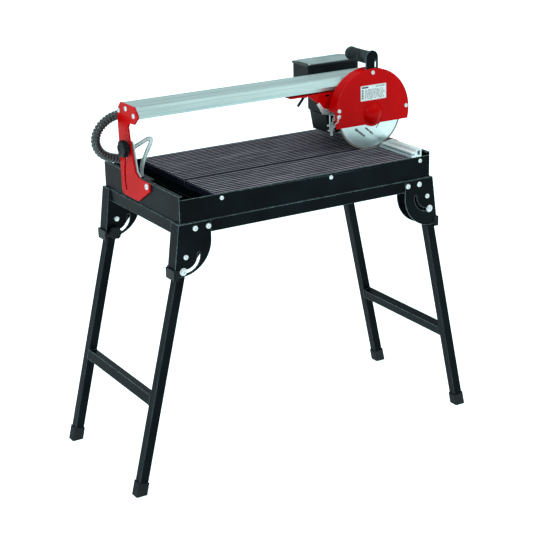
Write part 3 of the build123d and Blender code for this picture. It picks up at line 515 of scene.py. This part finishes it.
def box_part(low, high):
    sides_x, sides_y, sides_z = zip(low, high)
    vertices = [Vector((x, y, z)) for x in sides_x for y in sides_y for z in sides_z]
    return vertices, box_faces


def lathe_part(rings, steps):
    """A closed skin through rings given as (centre, across, up, radius)."""
    vertices, faces = [], []
    for centre, across, up, radius in rings:
        for step in range(steps):
            turn = 2 * pi * step / steps
            vertices.append(centre + radius * (cos(turn) * across + sin(turn) * up))
    for ring in range(len(rings) - 1):
        for step in range(steps):
            here = ring * steps + step
            side = ring * steps + (step + 1) % steps
            faces.append((here, side, side + steps, here + steps))
    faces.append(tuple(reversed(range(steps))))
    faces.append(tuple(range((len(rings) - 1) * steps, len(rings) * steps)))
    return vertices, faces


def nurbs_curve(name, points):
    """A smooth curve with the route's points as its control points."""
    data = bpy.data.curves.new(name, "CURVE")
    data.dimensions = "3D"
    data.resolution_u = 16
    spline = data.splines.new("NURBS")
    spline.points.add(len(points) - 1)
    for point, place in zip(spline.points, points):
        point.co = (*place, 1)
    spline.order_u = 3
    spline.use_endpoint_u = True
    return data


def centreline(name, points):
    """The points that the curve passes through, in order."""
    curve = bpy.data.objects.new(name, nurbs_curve(name, points))
    bpy.context.scene.collection.objects.link(curve)
    mesh = bpy.data.meshes.new_from_object(curve)
    line = [vertex.co.copy() for vertex in mesh.vertices]
    bpy.data.objects.remove(curve)
    bpy.data.meshes.remove(mesh)
    return line


def walk(line, step):
    """(place, direction, distance) every step along a line of points."""
    places, reached, distance = [], 0.0, 0.0
    for start, end in zip(line, line[1:]):
        length = (end - start).length
        if length == 0:
            continue
        direction = (end - start) / length
        while reached <= distance + length:
            places.append((start + direction * (reached - distance), direction, reached))
            reached += step
        distance += length
    return places


def carried_frames(places):
    """Across and up vectors along the walk, turned as little as possible from one to the next."""
    across = places[0][1].orthogonal().normalized()
    for place, direction, distance in places:
        across = (across - direction * across.dot(direction)).normalized()
        yield place, across, direction.cross(across), distance


# ---- conduit, hose and cable --------------------------------------------------------------
# The routes are in millimetres. Their X counts from a zero that lies bench_shift right of the frame's.
bench_shift = 9.0
conduit_diameter = 24 * MM
conduit_rib_pitch = 8.6 * MM
conduit_rib_height = 3.0 * MM
hose_diameter = 10.5 * MM
pump_cable_diameter = 5.5 * MM
tube_ring_step = 1.5 * MM
conduit_points = [
    (-330, 125, 882), (-364, 125, 882), (-396, 125, 869), (-419, 125, 846), (-426, 125, 816),
    (-413, 125, 789), (-386, 125, 773), (-358, 125, 768), (-345, 125, 755), (-345, 125, 738)]
hose_points = [
    (-330, 66, 730), (-330, 66, 750), (-325, 60, 772), (-318, 54, 795), (-309, 48, 816), (-305, 50, 827),
    (-312, 58, 826), (-326, 72, 813), (-341, 86, 800), (-349, 97, 787), (-348, 105, 772), (-344, 105, 755),
    (-344, 105, 738)]
pump_cable_points = [
    (-304, 84, 696), (-284, 84, 696), (-276, 110, 690), (-300, 128, 686), (-330, 128, 692),
    (-345, 125, 706), (-345, 125, 724)]


def in_metres(points):
    return [Vector((x + bench_shift, y, z)) * MM for x, y, z in points]


def line_length(line):
    return sum((end - start).length for start, end in zip(line, line[1:]))


def corrugated_conduit(finishes):
    """Corrugated conduit: round ribs with narrow valleys between them."""
    line = centreline("conduit_line", in_metres(conduit_points))
    crest, valley = conduit_diameter / 2, conduit_diameter / 2 - conduit_rib_height
    rings = []
    for place, across, up, distance in carried_frames(walk(line, conduit_rib_pitch / 8)):
        wave = (distance / conduit_rib_pitch) % 1.0
        rise = min(1.0, 1.6 * sin(pi * wave)) if wave else 0.0
        rings.append((place, across, up, valley + (crest - valley) * rise))
    vertices, faces = lathe_part(rings, 28)
    conduit = new_piece("corrugated_conduit", vertices, faces, finishes["conduit_plastic"],
                        "conduit_plastic", None, smooth=True)
    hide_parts("conduit")
    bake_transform(conduit)
    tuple(line[-1])
    line_length(line)


def plain_tube(name, points, diameter, finish, slot, node):
    """A smooth hose or cable along a route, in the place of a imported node."""
    line = centreline(name + "_line", in_metres(points))
    frames = carried_frames(walk(line, tube_ring_step))
    rings = [(place, across, up, diameter / 2) for place, across, up, _ in frames]
    vertices, faces = lathe_part(rings, 20)
    tube = new_piece(name, vertices, faces, finish, slot, "stand", smooth=True)
    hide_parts(node)
    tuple(line[0])
    line_length(line)


def make_cords(finishes):
    """The motor's conduit, the water hose and the pump's lead."""
    corrugated_conduit(finishes)
    plain_tube("clear_hose", hose_points, hose_diameter, finishes["clear_vinyl"],
               "clear_vinyl", "water_hose")
    plain_tube("pump_lead", pump_cable_points, pump_cable_diameter, finishes["black_plastic"],
               "black_plastic", "pump_cable")


# ---- guard label and blade print ----------------------------------------------------------
label_size = (81 * MM, 40 * MM)
label_lift = 0.2 * MM
label_corner = 1.5 * MM
ink_lift = 0.08 * MM
border_inset = 1.2 * MM
border_width = 0.4 * MM
side_margin = 4 * MM
guard_sheet = 2.0 * MM
blade_core_step = 0.3 * MM
blade_ink_lift = 0.12 * MM
# The rows of blocks on the blade: start and end from its centre, and height, in millimetres.
print_rows = (((-46, -40), (-16, -64), 6.5), ((-14, -41), (10, -61), 5.5), ((20, -46), (33, -31), 3.2))


def strip(x, z, width, height, y):
    """A thin bar of ink on a face that looks towards the operator. x and z are its middle."""
    return box_part((x - width / 2, y - ink_lift, z - height / 2), (x + width / 2, y, z + height / 2))


def rounded_plate(x, z, width, height, corner, y, depth):
    """A plate with round corners, flat against a face at y. x and z are its middle."""
    rim, steps = [], 6
    for quarter, (sign_x, sign_z) in enumerate(((1, 1), (-1, 1), (-1, -1), (1, -1))):
        for step in range(steps + 1):
            turn = (quarter + step / steps) * pi / 2
            rim.append((x + sign_x * (width / 2 - corner) + corner * cos(turn),
                        z + sign_z * (height / 2 - corner) + corner * sin(turn)))
    count = len(rim)
    vertices = [Vector((px, y, pz)) for px, pz in rim] + [Vector((px, y - depth, pz)) for px, pz in rim]
    faces = [tuple(range(count)), tuple(reversed(range(count, 2 * count)))]
    faces += [(i, i + count, (i + 1) % count + count, (i + 1) % count) for i in range(count)]
    return vertices, faces


def random_rows(left, top, right, surface):
    """Eight rows of plain bars of random length, with nothing that can be read."""
    bars = []
    for row in range(8):
        along = left + 13 * MM
        level = top - (11.5 + 3.3 * row) * MM
        while along < right - 10 * MM:
            length = chance.uniform(3, 11) * MM
            length = min(length, right - side_margin - along)
            bars.append(strip(along + length / 2, level, length, 1.3 * MM, surface))
            along += length + chance.uniform(1.2, 3.0) * MM
    return bars


def guard_label(finishes):
    """A blank rating label: a border, blocks and rows of plain bars."""
    axis_x = sum(corner.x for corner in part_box("spindle")) / 2
    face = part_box("guard_shell")[0].y - guard_sheet
    x, z = axis_x + 2.5 * MM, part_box("diamond_blade")[1].z - 45.5 * MM
    width, height = label_size
    plate = rounded_plate(x, z, width, height, label_corner, face, label_lift)
    new_piece("guard_label", *plate, finishes["label"], "lid_plastic", "carriage")
    surface = face - label_lift
    left, top = x - width / 2, z + height / 2
    bars = [strip(left + 14 * MM, top - 5 * MM, 21 * MM, 4.4 * MM, surface)]
    for column in range(5):
        bars.append(strip(left + (49 + 6 * column) * MM, top - 5 * MM, 3.6 * MM, 3.4 * MM, surface))
    bars += random_rows(left, top, left + width, surface)
    for row in range(4):
        bars.append(strip(left + 6.5 * MM, top - (13 + 6.4 * row) * MM, 5.2 * MM, 4.6 * MM, surface))
    for side_x in (left + border_inset, left + width - border_inset):
        bars.append(strip(side_x, z, border_width, height - 2 * border_inset, surface))
    for side_z in (top - border_inset, top - height + border_inset):
        bars.append(strip(x, side_z, width - 2 * border_inset, border_width, surface))
    new_piece("guard_label_print", *join_parts(bars), finishes["ink"], "black_plastic", "carriage")


def slanted_block(place, along, width, height):
    """A thin block on the blade's face, width along the given direction from a place."""
    across = Vector((-along.z, 0, along.x))
    out = Vector((0, -blade_ink_lift, 0))
    corners = [place + a * width * along + (b - 0.5) * height * across + c * out
               for a in (0, 1) for b in (0, 1) for c in (0, 1)]
    return corners, box_faces


def blade_print(finishes):
    """Three slanted rows of plain blocks on each half of the blade's outer face."""
    low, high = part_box("diamond_blade")
    middle = (low + high) / 2
    centre = Vector((middle.x, low.y + blade_core_step, middle.z))
    parts = []
    for half in (1, -1):
        for start, end, height in print_rows:
            here = Vector((half * start[0], 0, half * start[1])) * MM
            run = Vector((half * end[0], 0, half * end[1])) * MM - here
            along, reached = run.normalized(), 0.0
            while reached < run.length:
                width = min(chance.uniform(3.0, 5.5) * MM, run.length - reached)
                place = centre + here + along * reached
                parts.append(slanted_block(place, along, width, height * chance.uniform(0.7, 1.0) * MM))
                reached += width + chance.uniform(0.5, 1.3) * MM
    new_piece("blade_print", *join_parts(parts), finishes["ink"], "black_plastic", "blade_spindle")


# ---- grip, chains and welds ---------------------------------------------------------------
foam_ripple_mm = 0.35
link_step = 6.4 * MM
link_length = 9.0 * MM
link_width = 5.0 * MM
link_wire = 0.95 * MM
weld_radius = 1.5 * MM
weld_ring_step = 1.6 * MM
weld_ripple = 2.4 * MM
crossbar_half = 12.5 * MM


def grip_profile():
    """The grip's outline as (share of the length, share of the full radius), from the plate out."""
    flare = [(0.0, 0.62), (0.0, 0.88), (0.012, 0.97), (0.03, 1.0), (0.05, 0.985)]
    waist = [(0.05 + 0.85 * i / 24, 0.975 - 0.035 * sin(pi * i / 24)) for i in range(1, 25)]
    free_end = [(0.93, 0.99), (0.965, 1.0), (0.99, 0.95), (1.0, 0.85), (1.0, 0.62)]
    return flare + waist + free_end


def foam_grip(finishes):
    """Foam sleeve, slightly waisted, with a soft flare against the plate and a rounded free end."""
    low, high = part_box("handle_grip")
    middle = (low + high) / 2
    full = (high.x - low.x) / 2
    length = high.y - low.y
    across, up = Vector((1, 0, 0)), Vector((0, 0, 1))
    rings = []
    for at, share in grip_profile():
        rings.append((Vector((middle.x, low.y + at * length, middle.z)), across, up, share * full))
    vertices, faces = lathe_part(rings, 64)
    for vertex in vertices:
        away = vertex - Vector((middle.x, vertex.y, middle.z))
        ripple = sin(vertex.y * 410.0 + 3.0 * sin(vertex.x * 90.0)) * sin(vertex.z * 260.0)
        vertex -= away.normalized() * foam_ripple_mm * MM * (0.5 + 0.5 * ripple)
    grip = new_piece("foam_grip", vertices, faces, finishes["foam"], "foam", "carriage", smooth=True)
    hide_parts("handle_grip")


def chain_link(place, direction, side):
    """One oval link of round wire."""
    vertices, faces = [], []
    normal = direction.cross(side).normalized()
    around, tube = 14, 6
    straight = link_length / 2 - link_width / 2
    for step in range(around):
        turn = 2 * pi * step / around
        shift = straight if cos(turn) > 0 else -straight
        centre = place + direction * (shift + link_width / 2 * cos(turn))
        centre += side * (link_width / 2 * sin(turn))
        outward = (direction * cos(turn) + side * sin(turn)).normalized()
        for part in range(tube):
            roll = 2 * pi * part / tube
            vertices.append(centre + link_wire * (cos(roll) * outward + sin(roll) * normal))
    for step in range(around):
        for part in range(tube):
            here, after = step * tube, (step + 1) % around * tube
            beside = (part + 1) % tube
            faces.append((here + part, here + beside, after + beside, after + part))
    return vertices, faces


def chain(name, points, finish):
    """Links along a hanging line, each turned a quarter from the last."""
    line = centreline(name + "_line", points)
    links = []
    for index, (place, across, up, _) in enumerate(carried_frames(walk(line, link_step))):
        side = across if index % 2 else up
        direction = across.cross(up).normalized()
        links.append(chain_link(place, direction, side))
    vertices, faces = join_parts(links)
    piece = new_piece(name, vertices, faces, finish, "zinc", None, smooth=True)
    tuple(line[0])
    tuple(line[-1])
    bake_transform(piece)


def make_chains(finishes):
    """Two light chains that keep the latch pin: one to the strap, one to the guard's screw."""
    pin_low, pin_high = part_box("latch_pin")
    strap_low, strap_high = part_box("latch_bracket")
    shell_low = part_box("guard_shell")[0]
    ring = Vector(((pin_low.x + pin_high.x) / 2, pin_low.y - 3 * MM, pin_high.z - 3 * MM))
    strap_end = Vector((strap_high.x - 3 * MM, strap_low.y - 2 * MM, strap_high.z - 36 * MM))
    screw = Vector((shell_low.x + 10 * MM, shell_low.y - 4 * MM, shell_low.z + 32 * MM))
    chain("strap_chain", [
        strap_end,
        strap_end + Vector((-2, -3, -12)) * MM,
        ring + Vector((-5, -3, 6)) * MM,
        ring], finishes["zinc"])
    chain("guard_chain", [
        screw,
        screw + Vector((-8, 2, -16)) * MM,
        ring + Vector((-17, -24, -6)) * MM,
        ring + Vector((-7, -8, -5)) * MM,
        ring], finishes["zinc"])


def weld_bead(corners, finish, name, body):
    """A rippled bead that runs round a closed loop of corners."""
    rings = []
    for place, direction, distance in walk(corners + [corners[0]], weld_ring_step):
        across = direction.orthogonal().normalized()
        up = direction.cross(across)
        swell = 0.75 + 0.25 * abs(sin(distance / weld_ripple * pi))
        rings.append((place, across, up, weld_radius * swell))
    vertices, faces = lathe_part(rings, 8)
    new_piece(name, vertices, faces, finish, "black_paint", body, smooth=True)


def crossbar_welds(finishes):
    """Welds where each crossbar meets its legs, turned to lie along the splayed leg."""
    for side in ("left", "right"):
        low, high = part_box(side + "_crossbar")
        middle = (low + high) / 2
        foot = sum(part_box(side + "_feet"), Vector()) / 2
        bolt = sum(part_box(side + "_lock_bolts"), Vector()) / 2
        down = Vector((foot.x - bolt.x, 0, foot.z - bolt.z)).normalized()
        across = Vector((-down.z, 0, down.x))
        for end, y in (("front", low.y), ("rear", high.y)):
            corners = []
            for a, b in ((1, 1), (1, -1), (-1, -1), (-1, 1)):
                corner = middle + crossbar_half * (a * across + b * down)
                corners.append(Vector((corner.x, y, corner.z)))
            weld_bead(corners, finishes["black_paint"], f"{side}_{end}_crossbar_weld", side + "_legs")


# ---- run ----------------------------------------------------------------------------------
finishes = make_finishes()
make_camera()
make_studio()
make_floor()
make_cords(finishes)
dress_nodes(finishes)
guard_label(finishes)
blade_print(finishes)
foam_grip(finishes)
make_chains(finishes)
crossbar_welds(finishes)
